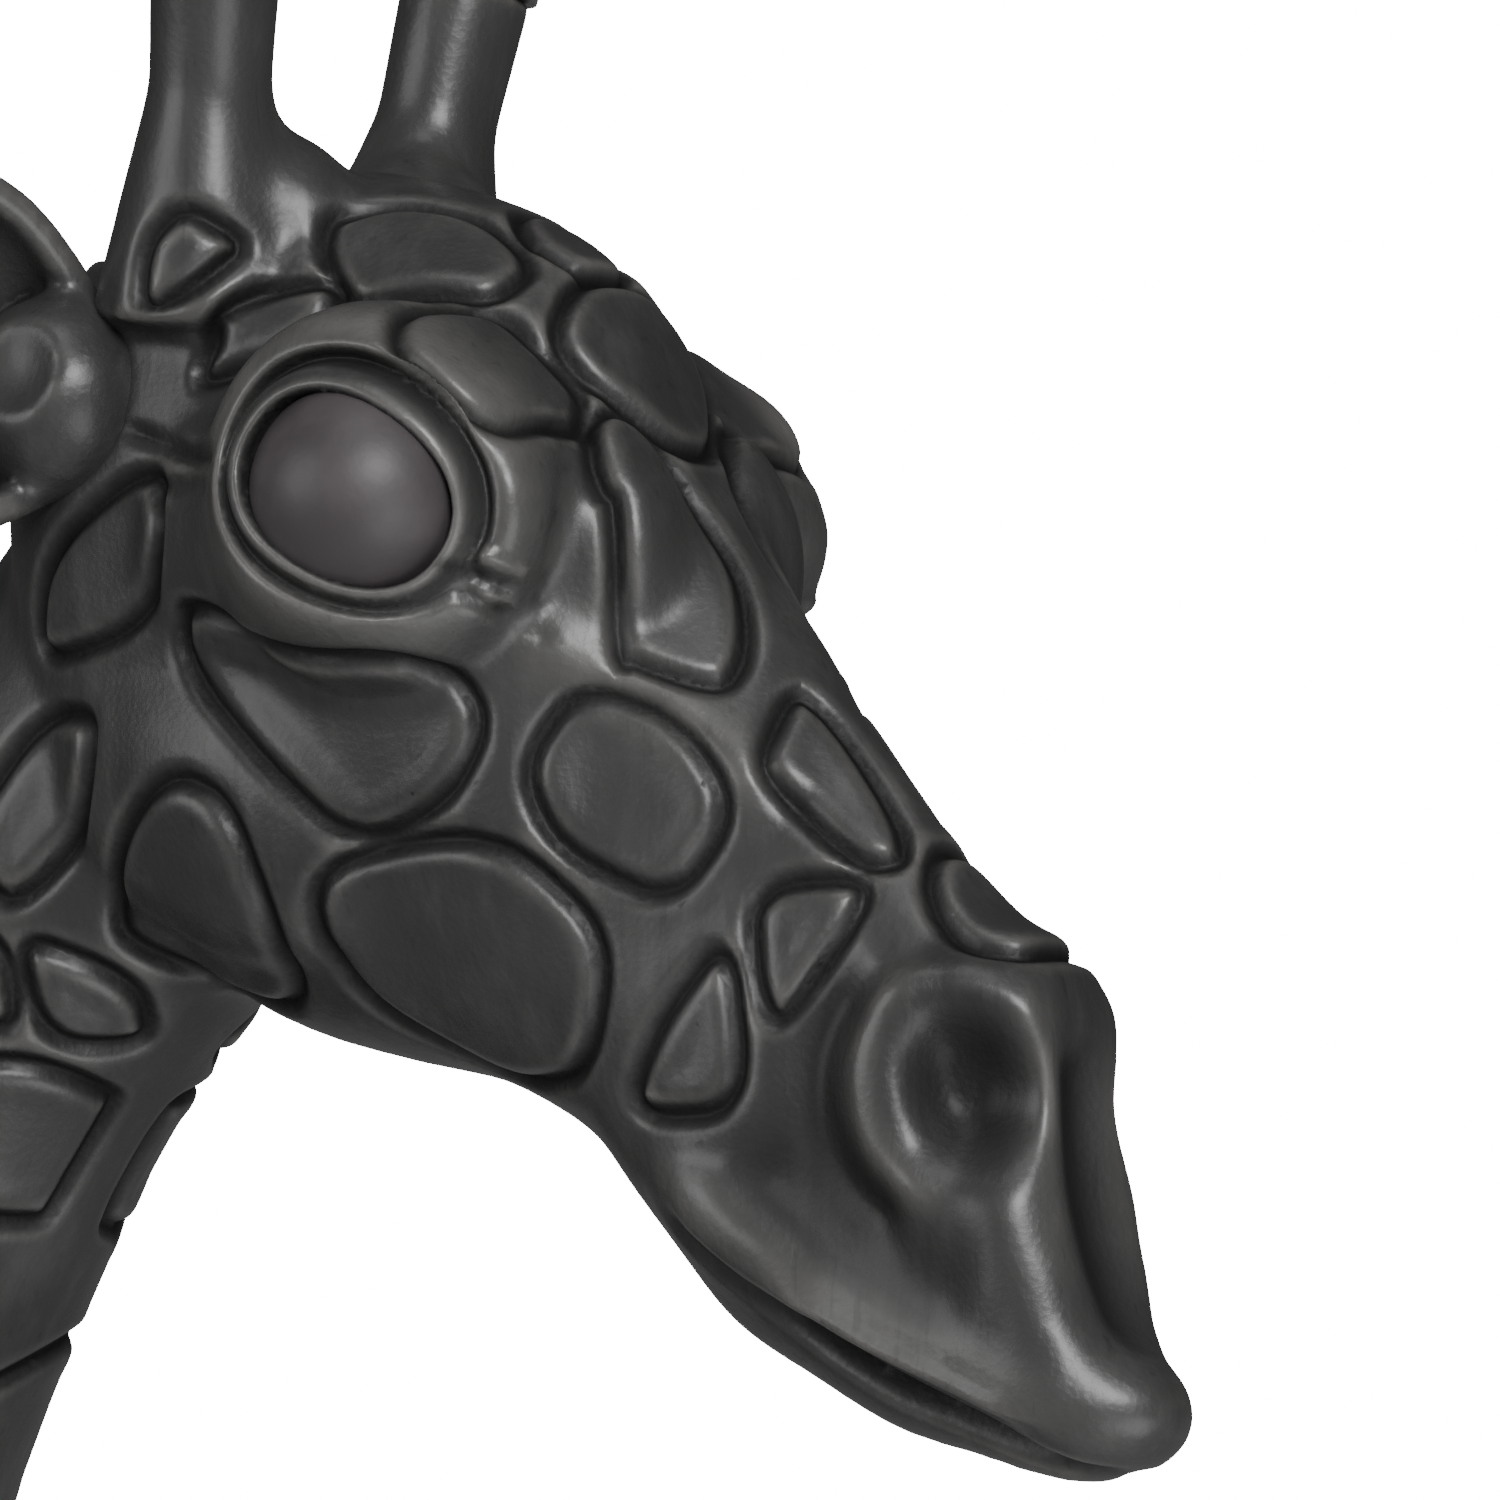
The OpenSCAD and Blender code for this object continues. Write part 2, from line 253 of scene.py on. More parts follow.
def dense(path, closed=False, gap=0.3):
    path = np.array(path, float)
    if closed:
        path = np.concatenate([path[-1:], path, path[:2]])
        line = catmull(path, 12)[12:-12]
    else:
        line = catmull(path, 12)
    steps = np.linalg.norm(np.diff(line, axis=0), axis=1)
    along = np.concatenate([[0], np.cumsum(steps)])
    wanted = np.linspace(0, along[-1], max(int(along[-1] / gap), 2))
    return np.stack([np.interp(wanted, along, line[:, k]) for k in range(3)], 1)


def nearLine(points, line, reach):
    # distance and position along the line for the points within reach, the rest stay far
    far = np.full(len(points), 1e3)
    along = np.zeros(len(points))
    low, high = line.min(0) - reach, line.max(0) + reach
    inside = np.where(((points > low) & (points < high)).all(1))[0]
    for part in np.array_split(inside, max(len(inside) * len(line) // 4000000, 1)):
        gaps = np.linalg.norm(points[part][:, None] - line[None], axis=2)
        nearest = gaps.argmin(1)
        far[part] = gaps[np.arange(len(part)), nearest]
        along[part] = nearest / max(len(line) - 1, 1)
    return far, along


def onSurface(piece, start):
    # a finder that moves typed points onto the clay
    tree = BVHTree.FromObject(piece, bpy.context.evaluated_depsgraph_get())

    def settle(path):
        return np.array([(np.array(tree.find_nearest(Vector(np.array(p) * mm + start))[0]) - start) / mm
                         for p in path])
    return settle


def carve(piece, start, strokes, sides=(-1, 1), ends=0.18):
    # strokes of the gouge and of the thumb: name, path, width, height
    points = (pointsOf(piece) - start) / mm
    normals = normalsOf(piece)
    settle = onSurface(piece, start)
    lift, dark, paintedHighlight = np.zeros(len(points)), np.zeros(len(points)), np.zeros(len(points))
    for name, path, width, height in strokes:
        best = np.zeros(len(points))
        for side in sides:
            line = dense(settle(np.array(path, float) * [1, -side, 1]))
            gap, along = nearLine(points, line, width * 3)
            amount = np.exp(-(gap / width) ** 2)
            amount = amount * smoothStep(along, -0.02, ends) * smoothStep(1 - along, -0.02, ends)
            best = np.maximum(best, amount)
        lift += best * height
        # cut strokes get painted shade along their line, raised strokes get a painted highlight
        if height < 0:
            dark = np.maximum(dark, best * min(-height * 0.5, 0.85))
        else:
            paintedHighlight = np.maximum(paintedHighlight, best * min(height * 0.7, 0.8))
    putPoints(piece, (points + normals * lift[:, None]) * mm + start)
    return dark, paintedHighlight


def dent(piece, start, centre, push, longWay, longHalf, shortHalf, depth, edge):
    points = (pointsOf(piece) - start) / mm
    moved, dark = points.copy(), np.zeros(len(points))
    for side in (-1, 1):
        flip = np.array([1, -side, 1])
        inward = np.array(push) * flip / np.linalg.norm(push)
        along = np.array(longWay) * flip
        along = along - inward * (along @ inward)
        along /= np.linalg.norm(along)
        across = np.cross(inward, along)
        local = points - np.array(centre) * flip
        r = np.hypot(local @ along / longHalf, local @ across / shortHalf)
        close = np.abs(local @ inward) < 8
        amount = np.where(close, np.exp(-r ** edge), 0)
        moved += inward * (amount * depth)[:, None]
        # painted shade in the pushed-in hollow
        dark = np.maximum(dark, amount * min(depth * 0.25, 0.95))
    putPoints(piece, moved * mm + start)
    return dark, dark * 0


def setAttribute(piece, name, values):
    layer = piece.data.attributes.new(name, "FLOAT", "POINT")
    layer.data.foreach_set("value", values.astype(np.float32))


def insidePlan(points, line):
    # which points fall inside a closed line, both flattened onto the line's own plane
    middle = line.mean(0)
    axes = np.linalg.svd(line - middle, full_matrices=False)[2]
    plan, edge = (points - middle) @ axes[:2].T, (line - middle) @ axes[:2].T
    nextEdge = np.roll(edge, -1, axis=0)
    x, y = plan[:, :1], plan[:, 1:]
    crosses = (edge[:, 1] > y) != (nextEdge[:, 1] > y)
    rise = nextEdge[:, 1] - edge[:, 1]
    rise = np.where(np.abs(rise) < 1e-9, 1e-9, rise)
    hits = crosses & (x < (nextEdge[:, 0] - edge[:, 0]) * (y - edge[:, 1]) / rise + edge[:, 0])
    return hits.sum(1) % 2 == 1


# patches of the coat, each one outlined by a groove

patch = {"groove": 0.8, "depth": 1.0, "swell": 0.16, "swellAt": 2.1, "swellWidth": 1.2, "lip": 0.06}


def grooveShape(out, scale=1.0):
    # height change at a distance outside the middle of the groove, in mm
    out = out / scale
    swell = patch["swell"] * np.exp(-((out + patch["swellAt"]) / patch["swellWidth"]) ** 2)
    lip = patch["lip"] * np.exp(-((out - 2) / 0.9) ** 2)
    return (swell + lip - patch["depth"] * np.exp(-(out / patch["groove"]) ** 2)) * scale


def rounded(corners, times=3, share=0.22):
    # a closed outline with each corner cut again and again until it is round
    line = np.array(corners, float)
    for step in range(times):
        after = np.roll(line, -1, axis=0)
        line = np.stack([line + (after - line) * share, after - (after - line) * share], 1).reshape(-1, 2)
    return line


def laidOn(tree, outline, face, side, start):
    # side outlines are x and z, seen from the side; the others are x and y, seen from above
    laid = []
    for along, other in outline:
        if face == "side":
            place, way = (along, 80 * side, other), (0, -side, 0)
        else:
            place, way = (along, other * side, 90), (0, 0, -1)
        hit = tree.ray_cast(Vector(np.array(place) * mm + start), Vector(way))[0]
        if hit is None:
            inner = (along, 4 * side, other) if face == "side" else (along, other * side, 0)
            hit = tree.find_nearest(Vector(np.array(inner) * mm + start))[0]
        laid.append((np.array(hit) - start) / mm)
    return np.array(laid)


def patchesFrom(points, piece, start, patches):
    # lift and groove amount, and the lines drawn; a middle patch has no mirror image
    tree = BVHTree.FromObject(piece, bpy.context.evaluated_depsgraph_get())
    lift, groove, lines = np.zeros(len(points)), np.zeros(len(points)), []
    for name, face, corners in patches:
        for side in ((1,) if face == "middle" else (-1, 1)):
            line = dense(laidOn(tree, rounded(corners), face, side, start), True)
            lines.append(line)
            gap, along = nearLine(points, line, 6)
            near = np.where(gap < 100)[0]
            out = np.where(insidePlan(points[near], line), -gap[near], gap[near])
            lift[near] += grooveShape(out)
            groove[near] = np.maximum(groove[near], np.exp(-(out / 0.95) ** 2))
    return lift, groove, lines


# spacing of the grown patches at heights above the floor
spacing = {"height": [60, 120, 230, 320, 400, 470, 600, 680, 760, 860, 940],
           "gap": [11, 12, 15, 21, 27, 34, 33, 26, 21, 17.5, 16]}


def sizeAt(z):
    return np.interp(z, spacing["height"], spacing["gap"])


def scatterSeeds(skins, seed=7):
    chance = np.random.default_rng(seed)
    seeds = np.empty((0, 3))
    for rows, low, high, sides, tries in skins:
        table = catmull(rows, 6)
        for side in sides:
            pick = table[chance.integers(0, len(table), tries)]
            turn = chance.uniform(0, 2 * math.pi, tries)
            height = pick[:, 5] + np.where(np.cos(turn) > 0, 1 - pick[:, 5], pick[:, 5]) * np.cos(turn)
            spots = np.stack([pick[:, 2] + (pick[:, 0] - pick[:, 2]) * height,
                              (pick[:, 8] + pick[:, 4] * np.sin(turn)) * side,
                              pick[:, 3] + (pick[:, 1] - pick[:, 3]) * height], 1)
            for spot in spots[(spots[:, 2] > low) & (spots[:, 2] < high)]:
                if not len(seeds) or np.linalg.norm(seeds - spot, axis=1).min() > sizeAt(spot[2]):
                    seeds = np.vstack([seeds, spot])
    return seeds


def patchesGrown(points, seeds, carved):
    # lift and groove amount from cells around the seeds, with rounded corners
    x, y, z = points.T
    waves = np.stack([np.sin(z / 9 + y / 7), np.sin(x / 8 + 1), np.sin(y / 6 + x / 11 + 2)], 1)
    warped = points + 1.6 * waves
    between = np.linalg.norm(seeds[:, None] - seeds[None], axis=2)
    lift, groove = np.zeros(len(points)), np.zeros(len(points))
    square = (seeds ** 2).sum(1)
    for part in np.array_split(np.arange(len(points)), max(len(points) * len(seeds) // 2500000, 1)):
        p = warped[part]
        gap = (p ** 2).sum(1)[:, None] - 2 * p @ seeds.T + square
        own = gap.argmin(1)
        rows = np.arange(len(part))
        border = (gap - gap[rows, own][:, None]) / (2 * between[own] + 1e-9)
        border[rows, own] = 1e3
        size = sizeAt(points[part][:, 2])
        tight = 9 / size
        least = border.min(1)
        soft = least - np.log(np.exp(-tight[:, None] * (border - least[:, None])).sum(1)) / tight
        scale = np.clip(size / 19, 0.8, 1.5)
        out = 0.11 * size - soft
        use = carved[own].astype(float)
        lift[part] = grooveShape(out, scale) * use
        groove[part] = np.exp(-(out / (0.95 * scale)) ** 2) * use
    return lift, groove


def wearAndPaintedLight(piece, paintedHighlight, times=3):
    # how sharply each point stands proud, for lighter edge wear joined with the painted highlights handed in,
    # or lies in a hollow, for painted shade
    mesh = piece.data
    flat = np.empty(len(mesh.edges) * 2, np.int32)
    mesh.edges.foreach_get("vertices", flat)
    a, b = flat.reshape(-1, 2).T
    points, normals, count = pointsOf(piece) / mm, normalsOf(piece), len(mesh.vertices)
    step = points[b] - points[a]
    size = (step ** 2).sum(1) + 1e-9
    bend = np.bincount(a, -(step * normals[a]).sum(1) * 2 / size, count)
    bend += np.bincount(b, (step * normals[b]).sum(1) * 2 / size, count)
    links = np.maximum(np.bincount(a, minlength=count) + np.bincount(b, minlength=count), 1)
    bend = np.clip(bend / links, -2, 2)
    for i in range(times):
        spread = np.bincount(a, bend[b], count) + np.bincount(b, bend[a], count)
        bend = bend * 0.3 + spread / links * 0.7
    setAttribute(piece, "wearAndPaintedHighlight", np.maximum(smoothStep(bend, 0.1, 0.6), paintedHighlight))
    # painted shade: how deep each point lies in a hollow, for darkening it
    setAttribute(piece, "hollowShade", smoothStep(-bend, 0.06, 0.6))


def finishPiece(piece, name, most, replaced, paintedHighlight=0):
    piece.name = name
    piece.data.name = name
    wearAndPaintedLight(piece, paintedHighlight)
    thin(piece, most)
    piece.data.validate()
    selectOnly(piece)
    bpy.ops.object.shade_smooth()
    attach(piece, "root")
    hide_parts(replaced)
    note(name + " built")
    return piece


def clay(masses, coarse, coarseTimes, fine=0, fineTimes=0):
    # joins masses and rubs their seams away
    piece = merge(masses)
    remesh(piece, coarse * loose)
    relax(piece, int(coarseTimes / loose))
    if fine:
        remesh(piece, fine * loose)
        relax(piece, fineTimes)
    return piece


# skins shared by neighbouring pieces, so that their surfaces meet at the saw cuts


def filled(rows):
    # widest level, top shape, bottom shape and y, where a row leaves them out
    return [row + [0.5, 1, 1, 0][len(row) - 5:] for row in rows]


def uprightRow(x, top, low, half, level=0.5):
    return [x, top, x, low, half, level, 1, 1, 0]


def levelRow(z, back, front, half, y, backShape=1, frontShape=1):
    return [back, z, front, z, half, 0.5, backShape, frontShape, y]


neckRows = filled([
    [162, 952, 196, 926, 12], [146, 932, 178, 907, 16.5], [128, 910, 160, 888, 18.5],
    [104, 877, 143.2, 855, 19.5], [81, 834, 127, 808, 20.5], [57, 781, 106, 752, 23],
    [33, 728, 90, 693, 26.5], [9, 682, 78, 636, 31.5], [-18, 644, 70, 583, 38], [-42, 612, 62, 530, 44]])
# the trunk is cut across: x, top, bottom, half width, widest level
trunkRows = [uprightRow(*row) for row in (
    (67, 548, 512, 8), (60, 574, 470, 26), (44, 594, 438, 40), (15, 612, 415, 50), (-20, 620, 406, 54),
    (-65, 610, 405, 56, 0.48), (-110, 597, 410, 56, 0.48), (-155, 588, 420, 54), (-200, 582, 436, 50),
    (-236, 570, 458, 42), (-259, 549, 483, 28), (-269, 527, 506, 9))]
# legs are cut level: height, back, front, half width, y, back shape, front shape
frontLegRows = [levelRow(*row) for row in (
    (592, -26, 12, 5, 24), (556, -36, 34, 17, 29), (510, -40, 48, 23, 33), (465, -35, 50, 24.5, 34),
    (428, -26, 42, 22.5, 34), (395, -19, 35, 19.5, 35), (345, -13, 25, 15.5, 36), (290, -9, 20, 12.5, 37),
    (252, -9, 19, 12, 38), (228, -10, 20, 13, 38, 0.9, 0.9), (200, -7, 17, 10.5, 39), (150, -6, 14, 9, 40),
    (95, -6, 14, 9, 41), (62, -9, 16, 11, 42), (42, -5, 17, 9.5, 42), (30, -5, 20, 11, 42),
    (12, -7, 25, 13.5, 42, 0.85, 0.9), (0, -9, 29, 15, 42, 0.85, 0.9))]
rearLegRows = [levelRow(*row) for row in (
    (568, -222, -182, 5, 20), (542, -244, -160, 17, 25), (506, -259, -148, 25, 29),
    (468, -262, -150, 28, 31), (432, -257, -166, 25.5, 33), (395, -250, -184, 21, 34),
    (345, -248, -202, 16.5, 36), (295, -252, -218, 13, 37), (262, -262, -226, 12.5, 38),
    (238, -263, -228, 12.5, 38, 0.9, 0.9), (205, -254, -227, 11, 39), (150, -247, -226, 9.5, 40),
    (95, -242, -222, 9, 41), (62, -243, -218, 11, 42), (42, -238, -216, 9.5, 42), (30, -238, -213, 11, 42),
    (12, -240, -208, 13.5, 42, 0.85, 0.9), (0, -242, -204, 15, 42, 0.85, 0.9))]
joints = {"head": ((100, 0, 817), 30), "neck": ((38, 0, 655), 34), "frontLeg": ((7, 35, 395), 0),
          "rearLeg": ((-218, 34, 395), 0), "floor": ((0, 0, 0), 0)}


def sided(rows, side):
    return [row[:8] + [row[8] * side] for row in rows]


coatSeeds = scatterSeeds([(trunkRows, 400, 640, (1,), 1500), (neckRows, 622, 915, (1,), 1500),
                          (frontLegRows, 82, 406, (-1, 1), 900), (rearLegRows, 82, 412, (-1, 1), 900)])
print("patch seeds", len(coatSeeds))


def growPatches(piece):
    points = (pointsOf(piece) - bodyPoint) / mm
    lift, groove = patchesGrown(points, coatSeeds, np.ones(len(coatSeeds), bool))
    # the hooves and the lowest part of the legs stay plain
    keep = smoothStep(points[:, 2], 92, 104)
    putPoints(piece, (points + normalsOf(piece) * (lift * keep)[:, None]) * mm + bodyPoint)
    return groove * keep


# head

def arc(centre, radii, first, last, count=7):
    # points along part of an ellipse seen from the side, turned from the nose towards the crown
    x, y, z = centre
    turns = [math.radians(first + (last - first) * i / (count - 1)) for i in range(count)]
    return [(x + radii[0] * math.cos(a), y, z + radii[1] * math.sin(a)) for a in turns]


head = {
    "rows": filled([
        [-47, 8, -46, -4, 4], [-44.5, 18, -44, -18, 13, 0.55, 0.9], [-38, 25.5, -38, -29, 17.5, 0.58, 0.85],
        [-29, 28.8, -31, -35.5, 19, 0.58, 0.85], [-19, 29.6, -22, -40.2, 19.2, 0.56, 0.88, 0.95],
        [-9, 27.8, -12, -43, 19.2, 0.55, 0.9, 0.95], [0, 24.2, -2, -45.2, 18.8, 0.55, 0.92, 0.95],
        [7.5, 18.8, 5, -48.5, 17.2, 0.52, 0.95, 0.95], [12.3, 11, 9, -51.5, 15.2, 0.48, 0.95],
        [16.7, 2.5, 12, -55.5, 13.2, 0.45, 0.95], [23.3, -7, 16, -60.3, 11.8, 0.45, 0.95],
        [30, -16, 20.8, -65.6, 10.8, 0.45, 0.95], [36.8, -24.3, 28, -69.8, 10.2, 0.45, 0.95],
        [43.8, -32, 35.5, -73.8, 10, 0.48, 0.9], [50.5, -36.4, 43, -76, 9.6, 0.5, 0.85],
        [52.5, -42, 48, -77.5, 9, 0.5, 0.85], [53.2, -55, 52, -78.2, 8, 0.5, 0.9, 0.9],
        [56.8, -66, 55.5, -78.2, 6.5, 0.5, 0.9, 0.9], [60.8, -70, 59.3, -77, 4],
        [62, -72.6, 61.5, -75, 1.5]]),
    "orbit": {"centre": (-1.2, 21.5, 0.3), "facing": (0.3, 0.954, 0), "ball": 9.5, "lid": 14.2,
              "lidBack": 5.0, "ring": 13.0, "ringThick": 2.8, "ringAhead": 0.6, "ringUp": 0.5,
              # how fast the brow ring sinks into the head away from its middle
              "sinkBack": 0.022, "sinkAhead": 0.002, "sinkUp": 0.016, "sinkDown": 0.01, "sinkCorner": 0.034},
    # the opening between the lids: a rounded almond, long way turned down towards the nose
    "opening": {"tilt": -33, "long": 9.2, "short": 6.8, "square": 2.2},
    "masses": [
        ((-11, 13, -1), (19, 10.5, 13), 0), ((7, 8, -4), (12, 7, 13), 0),
        ((44, 5.2, -46.5), (8.6, 6.2, 10), 0), ((-20, 10.5, -20), (22, 9, 15), 20),
        ((25, 5, -57), (13, 5.5, 6), 35)],
    "strokes": [
        ("nostrilRim", arc((46.5, -9.5, -47), (8, 9.5), 95, 275), 2.2, 1.0),
        ("behindNostril", arc((46.5, -10, -47), (13, 12), 125, 255), 2.8, -1.5),
        ("lipHollow", [(26, -9.5, -51), (38, -9, -59), (49, -8, -65)], 4.2, -1.0),
        ("frontRidge", [(49, -5, -38), (53, -5, -50), (55, -6, -66)], 2.6, 0.5),
        ("upperLip", [(17, -9.5, -51), (33, -8.5, -62.5), (49, -7.5, -70.5), (61, 0, -75)], 2.2, 1.0),
        ("lipEdge", [(20, -8.5, -55.5), (35, -8, -65.5), (54, -6, -74)], 0.9, 1.2),
        ("mouth", [(18.5, -8, -55.5), (34, -6.5, -68), (51, -4.5, -77), (58.5, 0, -79)], 1.1, -2.8),
        ("cheekbone", [(8, -18, -8.5), (18, -11.5, -15), (31, -8, -25)], 3.4, 1.3),
        ("earWrinkle", [(-13, -25, 3.5), (-21, -21, 5.5), (-29, -18.5, 8)], 0.8, -0.8),
        ("earWrinkleLow", [(-14, -24, 1.5), (-25, -20, 3)], 0.9, -0.45),
        ("tearDuct", [(7, -24, -5.5), (13.5, -18, -9.5)], 0.8, -1.3),
        ("tearFold", [(8, -22.5, -7.5), (14, -17, -11.5)], 0.7, -0.8),
        ("tearRidge", [(8, -23, -4), (14.5, -17, -7.5)], 0.8, 0.8),
    ],
    "valley": [("valley", [(53, 0, -42), (54.5, 0, -56), (59, 0, -69)], 2.8, -1.6)],
    # dents pushed in along one direction: centre, direction, long way, long half, short half, depth, edge
    "dents": [((48, -9, -47.5), (-0.6, 0.8, 0.1), (0.25, 0.1, -0.95), 6.2, 4.8, 6.2, 2.8)],
    # patches of the coat: name, face, corners
    "patches": [
        ("templeHigh", "side", [(-21, 25), (-16.5, 22), (-19.5, 18.5), (-24.5, 16), (-24.5, 22)]),
        ("browBack", "side", [(-22, 10.5), (-17, 18), (-9.5, 19), (-10, 15), (-15, 12)]),
        ("browFront", "side", [(0, 15.5), (4.5, 15.5), (9, 11), (12.5, 6), (11.5, 4.5), (6, 9.5)]),
        ("nose", "top", [(12.5, 7.5), (16.5, 3.5), (21.5, 2.5), (24.5, 5.5), (23.5, 8.5), (15, 13),
            (12.5, 11)]),
        ("behindEye", "side", [(-24.5, 5), (-22, -1), (-26, -8.5), (-39.5, -11), (-37, -2)]),
        ("underEye", "side", [(-22.5, -11), (-20.5, -6.5), (-8, -12.5), (4.5, -13), (7, -18), (3, -24),
            (-6, -27), (-13.5, -20)]),
        ("cheekFront", "side", [(9.5, -21.5), (13.5, -15), (21.5, -18), (26, -25), (21, -32.5), (12, -28)]),
        ("bridge", "side", [(27.5, -15), (30.5, -17.5), (39.5, -29), (36, -30), (28, -23)]),
        ("lipHigh", "side", [(27.5, -31), (38.5, -30.5), (31, -42.5), (28.5, -40)]),
        ("lipLow", "side", [(26, -34.5), (27.5, -49), (15.5, -49), (19.5, -42)]),
        ("jawBack", "side", [(-24, -20), (-17, -22.5), (-14.5, -33), (-19, -39.5), (-30, -36),
            (-35, -31.5)]),
        ("belowEar", "side", [(-39, -14.5), (-31.5, -15), (-33.5, -23), (-42, -31), (-46, -24)]),
        ("jaw", "side", [(-10, -28), (7, -26), (16, -35), (12.5, -45.5), (2, -46), (-12, -38)]),
        ("throatTop", "side", [(-41.5, -32), (-34, -36), (-36, -41), (-41.5, -41)]),
        ("throatBack", "side", [(-47, -32), (-42.5, -33), (-43, -40), (-47.5, -39)]),
        ("throatSide", "side", [(-50, -42), (-41, -42.5), (-39, -48), (-44.5, -54.5), (-52, -55)]),
        ("nape", "top", [(-27, 18), (-36, 11), (-42, 4), (-35, 1.5), (-28, 9)]),
        ("crown", "top", [(-13.5, 12.5), (-9, 8), (-2, 5.5), (4.5, 6.5), (3.5, 11), (-2, 13.5),
            (-8, 15.5)]),
        ("crownMiddle", "middle", [(-2.5, 0), (1.5, -5), (7, -3.5), (7, 3.5), (1.5, 5)]),
        ("forehead", "middle", [(7, -6), (8, -9.5), (11.5, -7.5), (15.5, -2.5), (15.5, 2.5), (11.5, 7.5),
            (8, 9.5), (7, 6)]),
        ("bridgeEnd", "middle", [(40, -4.5), (46, -6), (50.5, -3.5), (50.5, 3.5), (46, 6), (40, 4.5)]),
    ],
    "plainSeedGap": 13,
    "triangles": 195000,
    "voxel": 1.0,
    "fineVoxel": 0.42,
}


def eyeFrame(side):
    o = head["orbit"]
    flip = np.array([1, side, 1])
    centre = np.array(o["centre"]) * flip
    axis = np.array(o["facing"]) * flip
    axis /= np.linalg.norm(axis)
    ahead = np.array([abs(axis[1]), -axis[0] * np.sign(axis[1]), 0])
    return centre, axis, ahead


def addRing(side, h):
    o = h["orbit"]
    centre, axis, ahead = eyeFrame(side)
    place = (centre + axis * o["ringAhead"] + np.array([0, 0, o["ringUp"]])) * mm + browPoint
    bpy.ops.mesh.primitive_torus_add(major_radius=o["ring"] * mm, minor_radius=o["ringThick"] * mm,
                                     major_segments=48, minor_segments=16, location=place,
                                     rotation=Vector(axis).to_track_quat("Z", "Y").to_euler())
    piece = applied()
    points = pointsOf(piece)
    local = (points - browPoint) / mm - centre
    forward, upward = local @ ahead, local[:, 2]
    sink = np.where(forward < 0, o["sinkBack"], o["sinkAhead"]) * forward ** 2
    sink = sink + np.where(upward > 0, o["sinkUp"], o["sinkDown"]) * upward ** 2
    sink = sink + o["sinkCorner"] * np.maximum(forward, 0) * np.maximum(upward, 0)
    putPoints(piece, points - sink[:, None] * axis * mm)
    return piece


def openingEdge(turn):
    # distance from the middle of the eye to the lid edge, straight ahead being 0
    o = head["opening"]
    turn = turn - math.radians(o["tilt"])
    return ((np.abs(np.cos(turn)) / o["long"]) ** o["square"]
            + (np.abs(np.sin(turn)) / o["short"]) ** o["square"]) ** (-1 / o["square"])


# around the eye: how far the fold and the roll are from the lid edge, how deep and how high they are,
# and how much more of each there is above the eye than below it
lids = {"foldAt": (2.4, 0.65), "foldDeep": (1.9, 0.4), "foldWidth": 0.68,
        "rollAt": (4.75, 1.05), "rollHigh": (1.6, 0.3), "rollWidth": 2.1,
        "lip": 0.55, "lipWidth": 0.5, "holdFrom": 1.9, "holdTo": 3.3,
        "ductTurn": -35, "ductWide": 30, "ductShallow": 0.55, "backWide": 40, "backLow": 0.6,
        "bed": 8.8, "bedLow": 3.2, "wallFrom": -0.35, "wallTo": 0.25}


def carved(name, turn):
    middle, above = lids[name]
    return middle + above * np.sin(turn)


def byTurn(turn, place, wide):
    # 1 at a turn in degrees, falling away on both sides of it
    away = (np.degrees(turn) - place + 180) % 360 - 180
    return np.exp(-(away / wide) ** 2)


def carveLids(piece, h):
    o = h["orbit"]
    points = (pointsOf(piece) - browPoint) / mm
    dark, paintedHighlight = np.zeros(len(points)), np.zeros(len(points))
    for side in (-1, 1):
        centre, axis, ahead = eyeFrame(side)
        local = points - centre
        a, b, c = local @ ahead, local[:, 2], local @ axis
        near = np.where((c > -6) & (np.hypot(a, b) < 19) & (c < 16))[0]
        a, b, c = a[near], b[near], c[near]
        r, turn = np.hypot(a, b), np.arctan2(b, a)
        out = r - openingEdge(turn)
        # along the eye's own axis: the bed, a steep wall, a rounded lid, a fold, and the roll around it
        lid = np.sqrt(np.clip(o["lid"] ** 2 - r ** 2, 1, None)) - o["lidBack"]
        lid = lid - lids["lip"] * np.exp(-(out / lids["lipWidth"]) ** 2)
        bed = np.maximum(np.sqrt(np.clip(lids["bed"] ** 2 - r ** 2, 0, None)), lids["bedLow"])
        target = bed + (lid - bed) * smoothStep(out, lids["wallFrom"], lids["wallTo"])
        hold = 1 - smoothStep(out, lids["holdFrom"], lids["holdTo"])
        # both run out towards the tear duct, and the roll fades behind the eye
        duct = 1 - lids["ductShallow"] * byTurn(turn, lids["ductTurn"], lids["ductWide"])
        back = 1 - lids["backLow"] * byTurn(turn, 180, lids["backWide"])
        fold = carved("foldDeep", turn) * duct
        fold = fold * np.exp(-((out - carved("foldAt", turn)) / lids["foldWidth"]) ** 2)
        roll = carved("rollHigh", turn) * duct * back
        roll = roll * np.exp(-((out - carved("rollAt", turn)) / lids["rollWidth"]) ** 2)
        wanted = c + (target - c) * hold - fold + roll
        points[near] += (wanted - c)[:, None] * axis
        # painted shade in the fold and along the lid edge against the eyeball, painted highlight on the roll
        dark[near] = np.maximum(fold * 0.4, 0.7 * np.exp(-((out + 0.1) / 0.45) ** 2))
        paintedHighlight[near] = roll * 0.55
    putPoints(piece, points * mm + browPoint)
    return dark, paintedHighlight


def flatten(piece, place, axis, radius, start):
    # planes down everything that stands above a round joint face
    points = (pointsOf(piece) - start) / mm
    axis = np.array(axis) / np.linalg.norm(axis)
    local = points - np.array(place)
    high = local @ axis
    flat = (high > 0) & (high < 25) & (np.linalg.norm(local - high[:, None] * axis, axis=1) < radius)
    points[flat] -= high[flat][:, None] * axis
    putPoints(piece, points * mm + start)


horn = {"joint": (-19.7, 16.8, 46), "lean": (0.1378, 0.1378, 0.981), "foot": 5.2, "knob": 6.4, "length": 14,
        "triangles": 20000}


